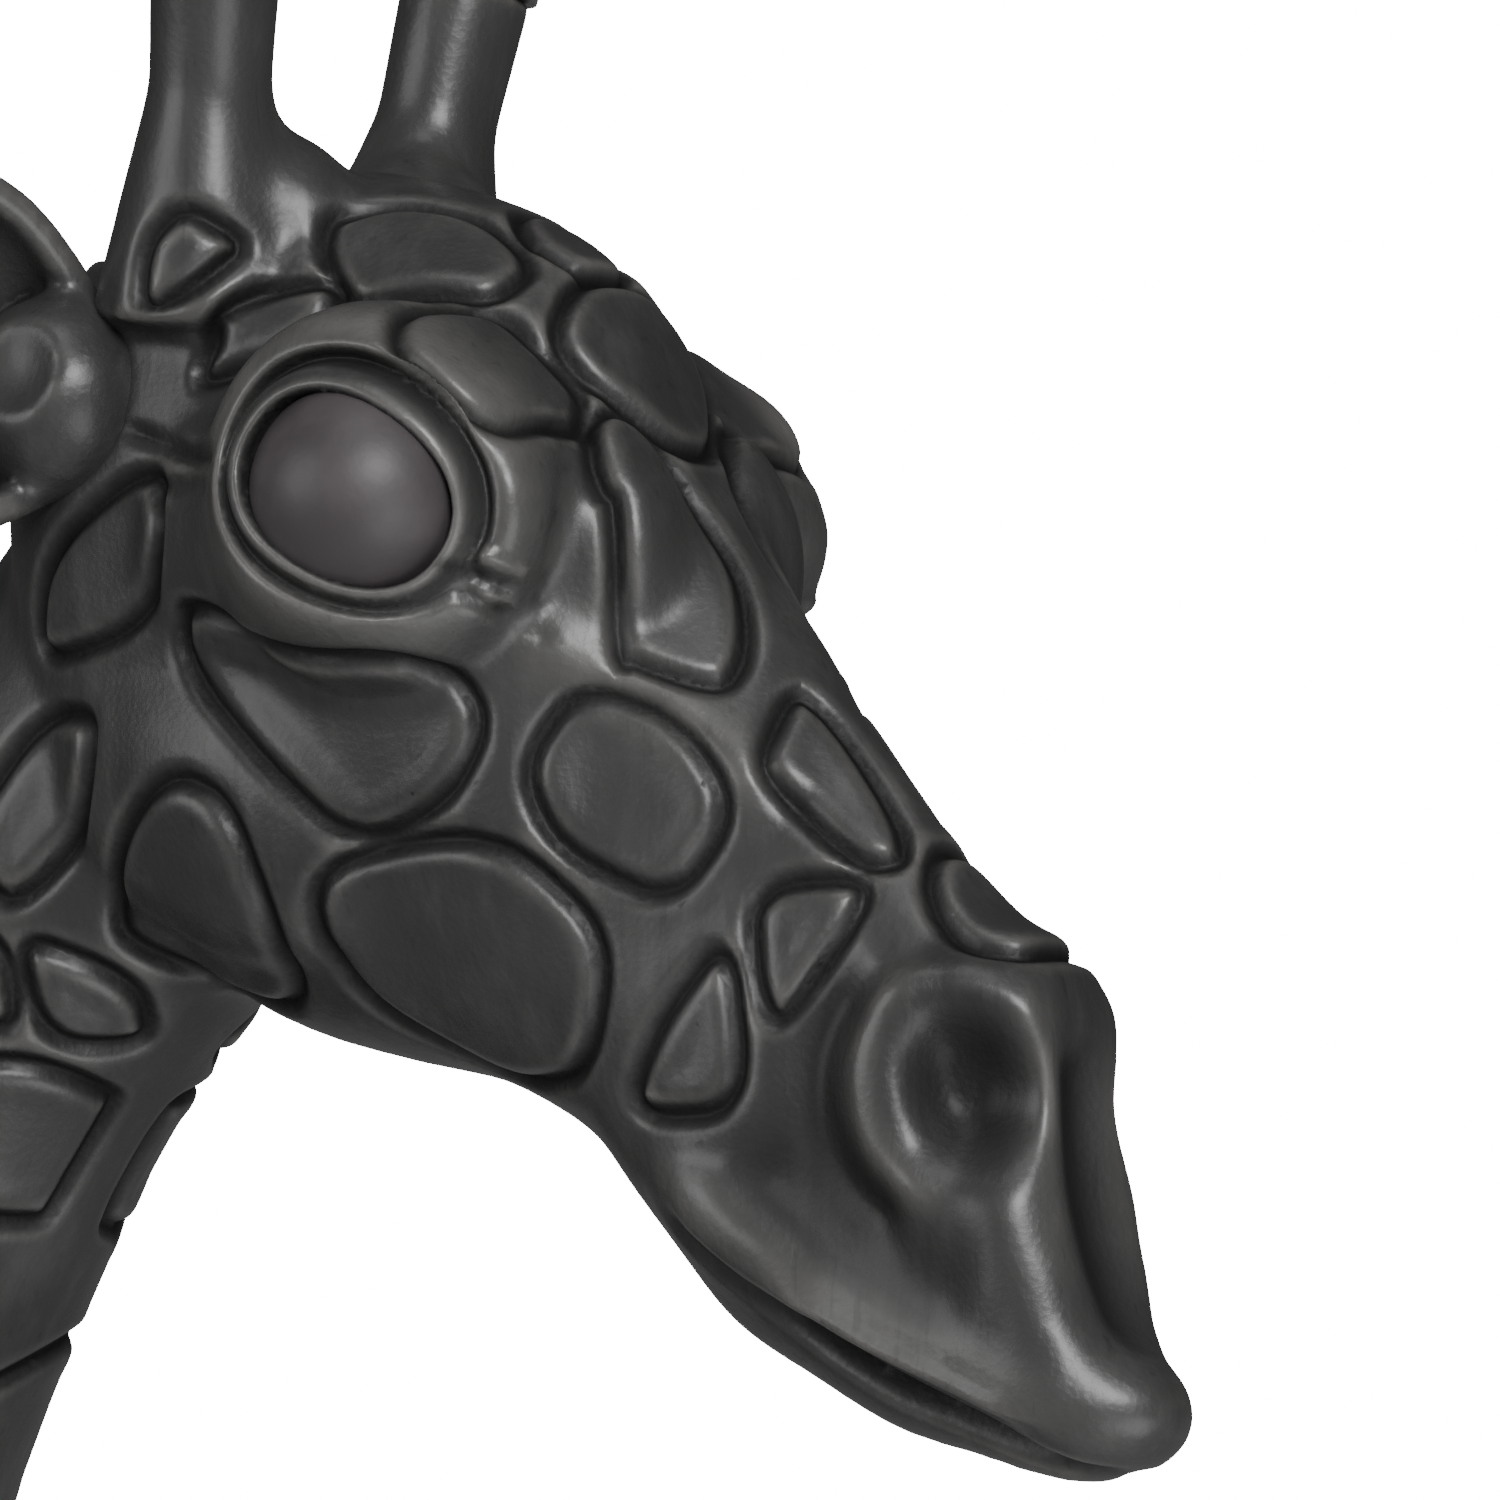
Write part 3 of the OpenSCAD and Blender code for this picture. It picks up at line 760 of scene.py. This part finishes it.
def headClay(h):
    e = browPoint
    o = h["orbit"]
    masses = [addSkin(h["rows"], e), addSkin(neckRows[:7], bodyPoint)]
    for s in (-1, 1):
        centre, axis, ahead = eyeFrame(s)
        masses.append(addBall(centre - axis * o["lidBack"], (o["lid"],) * 3, e))
        masses.append(addRing(s, h))
        for middle, radii, lean in h["masses"]:
            masses.append(addBall(np.array(middle) * [1, s, 1], radii, e, (0, lean, 0)))
        masses.append(addCone((-24.6, 12 * s, 17), (-22.2, 15 * s, 35), 9.6, 5.0, e))
        masses.append(addCone((-22.2, 15 * s, 35), (-20.1, 16.8 * s, 47.5), 5.0, 5.5, e))
        masses.append(addBall((-21, 9.5 * s, 25), (8.5, 6.5, 7.2), e))
    piece = clay(masses, h["voxel"], 12)
    cut(piece, joints["head"], True)
    for s in (-1, 1):
        flatten(piece, np.array(horn["joint"]) * [1, s, 1], np.array(horn["lean"]) * [1, s, 1], 9, e)
    remesh(piece, h["fineVoxel"] * loose)
    relax(piece, 3)
    note("head clay ready")
    return piece


def buildHead(h):
    e = browPoint
    piece = headClay(h)
    paintedShadeAndHighlight = [carve(piece, e, h["strokes"]), carve(piece, e, h["valley"], sides=(1,))]
    paintedShadeAndHighlight += [dent(piece, e, *shape) for shape in h["dents"]]
    paintedShadeAndHighlight.append(carveLids(piece, h))
    relax(piece, 2)
    points = (pointsOf(piece) - e) / mm
    lift, groove, lines = patchesFrom(points, piece, e, h["patches"])
    # grown patches only where no drawn one is near
    shift = (e - bodyPoint) / mm
    drawn, middles = np.concatenate(lines), np.array([line.mean(0) for line in lines])
    seedGap = np.array([np.linalg.norm(drawn - seed, axis=1).min() for seed in coatSeeds - shift])
    carvedHere = np.concatenate([seedGap > h["plainSeedGap"], np.zeros(len(middles), bool)])
    grownLift, grownGroove = patchesGrown(points + shift, np.vstack([coatSeeds, middles + shift]), carvedHere)
    low = 1 - smoothStep(points[:, 2] - points[:, 0] * 0.4, -42, -36)
    low = np.maximum(low, (1 - smoothStep(points[:, 0], -58, -51)) * (1 - smoothStep(points[:, 2], -4, 4)))
    clear = low * (groove < 0.05)
    lift, groove = lift + grownLift * clear, np.maximum(groove, grownGroove * clear)
    putPoints(piece, (points + normalsOf(piece) * lift[:, None]) * mm + e)
    # the groove amount joins the carved grooves with the painted shade of the strokes, the dent and the lid
    # folds
    setAttribute(piece, "groove", np.max([groove] + [dark for dark, light in paintedShadeAndHighlight], axis=0))
    # painted highlight: the raised strokes and the brow roll around the eyes are lightened
    paintedHighlight = np.max([light for dark, light in paintedShadeAndHighlight], axis=0)
    return finishPiece(piece, "carvedHead", h["triangles"], "head", paintedHighlight)


buildHead(head)


def buildEye(side, name, replaced):
    centre, axis, ahead = eyeFrame(side)
    bpy.ops.mesh.primitive_uv_sphere_add(segments=96, ring_count=64, radius=head["orbit"]["ball"] * mm,
                                         location=centre * mm + browPoint,
                                         rotation=Vector(axis).to_track_quat("Z", "Y").to_euler())
    piece = applied()
    return finishPiece(piece, name, 20000, replaced)


for side, hand in hands:
    buildEye(side, "eye" + hand, "eye_" + hand.lower())


# horn tips

def buildHorn(side, name, replaced, h):
    flip = np.array([1, side, 1])
    axis, foot = np.array(h["lean"]) * flip, np.array(h["joint"]) * flip
    axis = axis / np.linalg.norm(axis)
    stem = addCone(foot - axis * 2, foot + axis * h["length"] * 0.55,
                   h["foot"] - 0.1, h["foot"] + 0.9, browPoint)
    masses = [stem, addBall(foot + axis * (h["length"] - h["knob"]), (h["knob"],) * 3, browPoint)]
    piece = clay(masses, 0.6, 6)
    points = (pointsOf(piece) - browPoint) / mm
    low = (points - foot) @ axis
    points[low < 0] -= low[low < 0][:, None] * axis
    putPoints(piece, points * mm + browPoint)
    return finishPiece(piece, name, h["triangles"], replaced)


for side, hand in hands:
    buildHorn(side, "horn" + hand, "horn_" + hand.lower(), horn)


# ears: a leaf-shaped cup with a rolled rim and a thick foot

ear = {
    "place": (-36, 14.5, 10), "long": (-0.4535, 0.853, 0.259), "open": (0.883, 0.469, 0),
    "length": 47, "thick": 2.2, "rim": 1.6, "bulb": 8.4, "wrap": 1.5,
    # hollow pressed into the foot of the cup: place along the ear and ahead of it, radii along, across, ahead
    "hollow": (22, 9.2, 16, 12.2, 10.5),
    # along the ear: part of the length, half width, how deep the cup is, how far the rim leans back
    "leaf": [(0, 7.5, 7.5, -1), (0.08, 10.6, 8.5, -0.5), (0.2, 13.6, 9.5, 0), (0.38, 14.8, 9, 0),
             (0.58, 13.6, 7.5, -0.5), (0.76, 10.4, 5.5, -1.5), (0.9, 6, 3, -3), (1, 1, 0.6, -5)],
    "voxel": 0.55, "triangles": 60000,
}


def buildEar(side, name, replaced, h):
    flip = np.array([1, side, 1])
    foot = np.array(h["place"]) * flip
    along, opening = np.array(h["long"]) * flip, np.array(h["open"]) * flip
    across = np.cross(along, opening)
    leaf = catmull([[a * h["length"] + 2, b, c, d] for a, b, c, d in h["leaf"]], 8)
    columns = 41
    turn = np.linspace(-h["wrap"], h["wrap"], columns)
    points, rim = [], []
    for where, half, deep, back in leaf:
        y = half * np.sin(turn) / np.sin(h["wrap"])
        x = back - deep * (np.cos(turn) - math.cos(h["wrap"])) / (1 - math.cos(h["wrap"])) + 3
        points.append(foot + along * where + x[:, None] * opening + y[:, None] * across)
        rim.append((points[-1][0], points[-1][-1]))
    bpy.ops.mesh.primitive_grid_add(x_subdivisions=columns - 1, y_subdivisions=len(leaf) - 1, size=1)
    sheet = bpy.context.object
    putPoints(sheet, np.concatenate(points) * mm + browPoint)
    modify(sheet, "SOLIDIFY", thickness=h["thick"] * mm, offset=0)
    bulb = h["bulb"]
    masses = [sheet, addBall(foot + along * 2.5 + opening * 1.5, (bulb, bulb * 0.92, bulb), browPoint)]
    edge = [a for a, b in rim] + [b for a, b in rim[::-1]]
    masses += [addBead(place, h["rim"], browPoint) for place in edge]
    piece = clay(masses, h["voxel"], 5)
    local = (pointsOf(piece) - browPoint) / mm - foot
    where, ahead, length, width, depth = h["hollow"]
    for i in range(3):
        x, y, z = (local @ along - where) / length, local @ across / width, (local @ opening - ahead) / depth
        flat = x ** 2 + y ** 2
        wall = np.sqrt(np.clip(1 - flat, 0, 1))
        inside = (flat < 1) & (np.abs(z) < wall)
        local = local - opening * (np.where(inside, (z + wall) * depth, 0) * 0.75)[:, None]
    low = local @ along
    wanted = np.where(low < -1.5, -1.5, low)
    putPoints(piece, (local + (wanted - low)[:, None] * along + foot) * mm + browPoint)
    remesh(piece, h["voxel"])
    relax(piece, 5)
    return finishPiece(piece, name, h["triangles"], replaced)


for side, hand in hands:
    buildEar(side, "ear" + hand, "ear_" + hand.lower(), ear)

# neck and trunk

body = {"neckVoxel": 0.7, "trunkVoxel": 0.95, "neckTriangles": 150000, "trunkTriangles": 195000}


def buildNeck(b):
    piece = clay([addSkin(neckRows[1:9], bodyPoint)], b["neckVoxel"], 3)
    setAttribute(piece, "groove", growPatches(piece))
    cut(piece, joints["head"], False)
    cut(piece, joints["neck"], True)
    return finishPiece(piece, "carvedNeck", b["neckTriangles"], "neck")


def buildTrunk(b):
    masses = [addSkin(trunkRows, bodyPoint, 64, 6), addSkin(neckRows[4:], bodyPoint)]
    for s in (-1, 1):
        masses.append(addSkin(sided(frontLegRows[:8], s), bodyPoint))
        masses.append(addSkin(sided(rearLegRows[:8], s), bodyPoint))
    piece = clay(masses, 2, 14, b["trunkVoxel"], 3)
    setAttribute(piece, "groove", growPatches(piece))
    cut(piece, joints["neck"], False)
    cut(piece, joints["frontLeg"], True)
    return finishPiece(piece, "carvedTrunk", b["trunkTriangles"], "torso")


buildNeck(body)
buildTrunk(body)

# legs

legs = {
    "voxel": 0.8, "triangles": 90000,
    # grooves of one foot, measured from the front of the hoof: split, and the band above it
    "splitWidth": 1.0, "splitDeep": 2.2, "bandAt": 27, "bandDeep": 1.0, "bandWidth": 1.2,
}


def buildLeg(rows, side, joint, name, replaced, g):
    piece = clay([addSkin(sided(rows[3:], side), bodyPoint)], g["voxel"], 3)
    groove = growPatches(piece)
    points = (pointsOf(piece) - bodyPoint) / mm
    normals = normalsOf(piece)
    x, y, z = points.T
    front = rows[-1][2]
    hoof = 1 - smoothStep(z, 22, 27)
    split = np.exp(-((y - 42 * side) / g["splitWidth"]) ** 2) * hoof * smoothStep(x, front - 22, front - 12)
    band = np.exp(-((z - g["bandAt"] - 0.12 * (x - front)) / g["bandWidth"]) ** 2)
    lift = -g["splitDeep"] * split - g["bandDeep"] * band
    putPoints(piece, (points + normals * lift[:, None]) * mm + bodyPoint)
    setAttribute(piece, "groove", np.max([groove, split, band], axis=0))
    cut(piece, joint, False)
    cut(piece, joints["floor"], True)
    return finishPiece(piece, name, g["triangles"], replaced)


for rows, end in ((frontLegRows, "Front"), (rearLegRows, "Rear")):
    for side, hand in hands:
        replaced = "leg_" + end.lower() + "_" + hand.lower()
        buildLeg(rows, side, joints[end.lower() + "Leg"], "leg" + end + hand, replaced, legs)

# tail

tail = {
    "rows": filled([
        [-262, 547, -258, 526, 6.5], [-274, 538, -264, 521, 7], [-281, 515, -270, 511, 6],
        [-285, 480, -276, 480, 4.5], [-286, 430, -279, 430, 3.5], [-286, 385, -280, 385, 3],
        [-288, 360, -278, 360, 5], [-290, 325, -276, 325, 7], [-288, 290, -277, 290, 5],
        [-284, 268, -281, 268, 1.2]]),
    "strands": 9, "strandDeep": 0.5, "voxel": 0.5, "triangles": 70000,
}


def buildTail(t):
    piece = clay([addSkin(t["rows"], bodyPoint)], t["voxel"], 3)
    points = (pointsOf(piece) - bodyPoint) / mm
    normals = normalsOf(piece)
    tuft = 1 - smoothStep(points[:, 2], 352, 372)
    turn = np.arctan2(points[:, 1], points[:, 0] + 283)
    wave = 0.5 + 0.5 * np.cos(turn * t["strands"] + np.sin(points[:, 2] / 11) * 1.2)
    points = points - normals * (t["strandDeep"] * wave ** 3 * tuft)[:, None]
    putPoints(piece, points * mm + bodyPoint)
    setAttribute(piece, "groove", wave ** 4 * tuft * 0.7)
    return finishPiece(piece, "carvedTail", t["triangles"], "tail")


buildTail(tail)


# materials

class Wire:
    # one output of a shading node, with sums that make Math nodes
    def __init__(self, tree, socket):
        self.tree, self.socket = tree, socket

    def node(self, kind, settings=None, inputs=None, output=0):
        made = self.tree.nodes.new(kind)
        for key, value in (settings or {}).items():
            setattr(made, key, value)
        for key, value in (inputs or {}).items():
            if isinstance(value, Wire):
                self.tree.links.new(value.socket, made.inputs[key])
            else:
                made.inputs[key].default_value = value
        return Wire(self.tree, made.outputs[output])

    def math(self, operation, a, b):
        return self.node("ShaderNodeMath", {"operation": operation}, {0: a, 1: b})

    def __add__(self, other):
        return self.math("ADD", self, other)

    def __radd__(self, other):
        return self.math("ADD", other, self)

    def __sub__(self, other):
        return self.math("SUBTRACT", self, other)

    def __rsub__(self, other):
        return self.math("SUBTRACT", other, self)

    def __mul__(self, other):
        return self.math("MULTIPLY", self, other)

    def __rmul__(self, other):
        return self.math("MULTIPLY", other, self)

    def clamp(self, low=0.0, high=1.0):
        return self.math("MINIMUM", self.math("MAXIMUM", self, low), high)

    def ramp(self, low, high):
        return self.node("ShaderNodeMapRange", {"interpolation_type": "SMOOTHSTEP"},
                         {"Value": self, "From Min": low, "From Max": high})

    def scaled(self, scale):
        return self.node("ShaderNodeVectorMath", {"operation": "MULTIPLY"}, {0: self, 1: scale})

    def noise(self, scale, detail=2.0, roughness=0.5):
        return self.node("ShaderNodeTexNoise", None, {"Vector": self, "Scale": scale, "Detail": detail,
                                                      "Roughness": roughness})

    def cells(self, scale):
        return self.node("ShaderNodeTexVoronoi", {"feature": "F1"}, {"Vector": self, "Scale": scale})

    def attribute(self, name):
        return self.node("ShaderNodeAttribute", {"attribute_name": name}, None, 2)

    def bump(self, strength, distance):
        return self.node("ShaderNodeBump", None, {"Strength": strength, "Distance": distance, "Height": self})

    def mixed(self, factor, a, b):
        return self.node("ShaderNodeMix", {"data_type": "RGBA"}, {0: factor, 6: a, 7: b}, 2)


def newMaterial(name):
    material = bpy.data.materials.new(name)
    material.use_nodes = True
    tree = material.node_tree
    place = tree.nodes.new("ShaderNodeTexCoord")
    return material, tree.nodes["Principled BSDF"], Wire(tree, place.outputs["Object"])


def feed(shader, wires):
    for name, wire in wires.items():
        wire.tree.links.new(wire.socket, shader.inputs[name])


# the worn tone lightens worn edges and also paints highlights; the deep tone darkens pores and also paints
# shade in hollows, folds and grooves
carvedWood = {
    "dark": (0.024, 0.0238, 0.0236, 1), "base": (0.041, 0.0405, 0.040, 1), "light": (0.078, 0.076, 0.0745, 1),
    "wearAndPaintedHighlight": (0.17, 0.165, 0.16, 1), "deep": (0.004, 0.004, 0.004, 1),
    "shineLow": 0.36, "shineHigh": 0.48, "grain": (110, 110, 12), "wax": 0.7, "waxShine": 0.33, "under": 0.2,
}


def woodMaterial(name, w):
    material, shader, at = newMaterial(name)
    mottle = at.noise(16, 3, 0.55)
    grain = at.scaled(w["grain"]).noise(1.6, 4, 0.6)
    pores = at.scaled((900, 900, 70)).noise(1.2, 2, 0.5).ramp(0.62, 0.74)
    leather = at.cells(1500)
    fine = at.noise(2600, 3, 0.6)
    wax = at.noise(55, 4, 0.6).ramp(0.35, 0.7)
    groove, wearAndPaintedHighlight, hollowShade = at.attribute("groove"), at.attribute("wearAndPaintedHighlight"), at.attribute("hollowShade")
    tone = at.mixed(mottle.ramp(0.3, 0.72), w["dark"], w["base"])
    tone = at.mixed(grain.ramp(0.42, 0.78) * 0.45, tone, w["light"])
    # lighter on worn edges, and painted highlights on the brow roll, cheekbone, lips and other raised strokes
    tone = at.mixed(wearAndPaintedHighlight * (0.3 + 0.45 * wax), tone, w["wearAndPaintedHighlight"])
    tone = at.mixed(pores * 0.2, tone, w["deep"])
    # painted shade in the hollows; the groove amount darkens with dark stain plus painted shade in the carved
    # grooves, and with painted shade in the nostril, mouth line and lid folds
    tone = at.mixed((hollowShade * 0.6).math("MAXIMUM", hollowShade * 0.6, groove * 0.9), tone, w["deep"])
    rough = w["shineLow"] + (w["shineHigh"] - w["shineLow"]) * wax
    rough = rough + groove * 0.18 - wearAndPaintedHighlight * 0.05 + pores * 0.08
    # wax sits on the open surface and is rubbed out of the grooves
    coat = w["wax"] * (1 - groove * 0.92) * (1 - hollowShade * 0.6) * (0.75 + 0.25 * wax)
    shader.inputs["Coat Roughness"].default_value = w["waxShine"]
    shader.inputs["Specular IOR Level"].default_value = w["under"]
    height = leather * 0.45 + fine * 0.5 + grain * 0.4 - pores * 0.12
    feed(shader, {"Base Color": tone, "Roughness": rough.clamp(0.2, 0.8), "Coat Weight": coat.clamp(),
                  "Normal": height.bump(0.35, 0.00022)})
    return material


def eyeMaterial():
    material, shader, at = newMaterial("polishedEye")
    cloud = at.noise(120, 3, 0.55)
    tone = at.mixed(cloud.ramp(0.35, 0.7), (0.045, 0.0395, 0.0415, 1), (0.066, 0.057, 0.060, 1))
    tone = at.mixed(at.noise(700, 2, 0.5).ramp(0.6, 0.75) * 0.3, tone, (0.05, 0.045, 0.047, 1))
    feed(shader, {"Base Color": tone, "Roughness": 0.42 + at.noise(60, 3, 0.5) * 0.12,
                  "Normal": at.noise(1500, 2, 0.5).bump(0.15, 0.0001)})
    return material


def bareWoodMaterial():
    material, shader, at = newMaterial("bareWood")
    rings = at.scaled((260, 260, 16)).noise(1.4, 4, 0.6)
    pores = at.scaled((1200, 1200, 90)).noise(1, 2, 0.5).ramp(0.6, 0.72)
    tone = at.mixed(rings.ramp(0.3, 0.7), (0.36, 0.22, 0.11, 1), (0.52, 0.35, 0.19, 1))
    tone = at.mixed(pores * 0.5, tone, (0.2, 0.11, 0.05, 1))
    feed(shader, {"Base Color": tone, "Roughness": 0.55 + rings * 0.15,
                  "Normal": (rings - pores * 0.6).bump(0.3, 0.0002)})
    return material


def floorMaterial():
    material, shader, at = newMaterial("paleFloor")
    tone = at.mixed(at.noise(3, 2, 0.5), (0.78, 0.78, 0.78, 1), (0.82, 0.82, 0.82, 1))
    feed(shader, {"Base Color": tone, "Roughness": 0.75 + at.noise(5, 2, 0.5) * 0.1})
    shader.inputs["Emission Color"].default_value = (1, 1, 1, 1)
    shader.inputs["Emission Strength"].default_value = 0.12
    return material


carved = woodMaterial("stainedWood", carvedWood)
polished = eyeMaterial()
bare = bareWoodMaterial()
for piece in bpy.context.scene.objects:
    if piece.type == "MESH":
        piece.data.materials.clear()
        plug = "dowel" in piece.name or "peg" in piece.name
        piece.data.materials.append(polished if piece.name.startswith("eye") else bare if plug else carved)
note("materials set")

# floor and lights

bpy.ops.mesh.primitive_plane_add(size=60, location=(0, 0, 0))
floor = bpy.context.object
floor.name = "floor"
floor.data.materials.append(floorMaterial())

lights = [
    {"name": "key", "turn": 46, "rise": 22, "away": 1.0, "size": 0.35, "power": 9},
    {"name": "low", "turn": 62, "rise": -30, "away": 1.0, "size": 0.7, "power": 4},
    {"name": "left", "turn": -30, "rise": 12, "away": 1.0, "size": 0.6, "power": 3},
    {"name": "top", "turn": 20, "rise": 62, "away": 1.0, "size": 0.5, "power": 1.5},
]


def addLight(l):
    toLight = towards(l)
    bpy.ops.object.light_add(type="AREA", location=Vector(browPoint) + toLight * l["away"])
    light = bpy.context.object
    light.name = l["name"]
    light.data.shape = "DISK"
    light.data.size = l["size"]
    light.data.energy = l["power"]
    light.rotation_euler = toLight.to_track_quat("Z", "Y").to_euler()


for l in lights:
    addLight(l)

sky = {"seen": 20.0, "given": 0.065}


def addWorld(w):
    world = bpy.data.worlds.new("studio")
    bpy.context.scene.world = world
    world.use_nodes = True
    tree = world.node_tree
    back = tree.nodes["Background"]
    path = tree.nodes.new("ShaderNodeLightPath")
    seen = tree.nodes.new("ShaderNodeBackground")
    for node, strength in ((back, w["given"]), (seen, w["seen"])):
        node.inputs["Color"].default_value = (1, 1, 1, 1)
        node.inputs["Strength"].default_value = strength
    mix = tree.nodes.new("ShaderNodeMixShader")
    tree.links.new(path.outputs["Is Camera Ray"], mix.inputs[0])
    tree.links.new(back.outputs[0], mix.inputs[1])
    tree.links.new(seen.outputs[0], mix.inputs[2])
    tree.links.new(mix.outputs[0], tree.nodes["World Output"].inputs[0])


addWorld(sky)
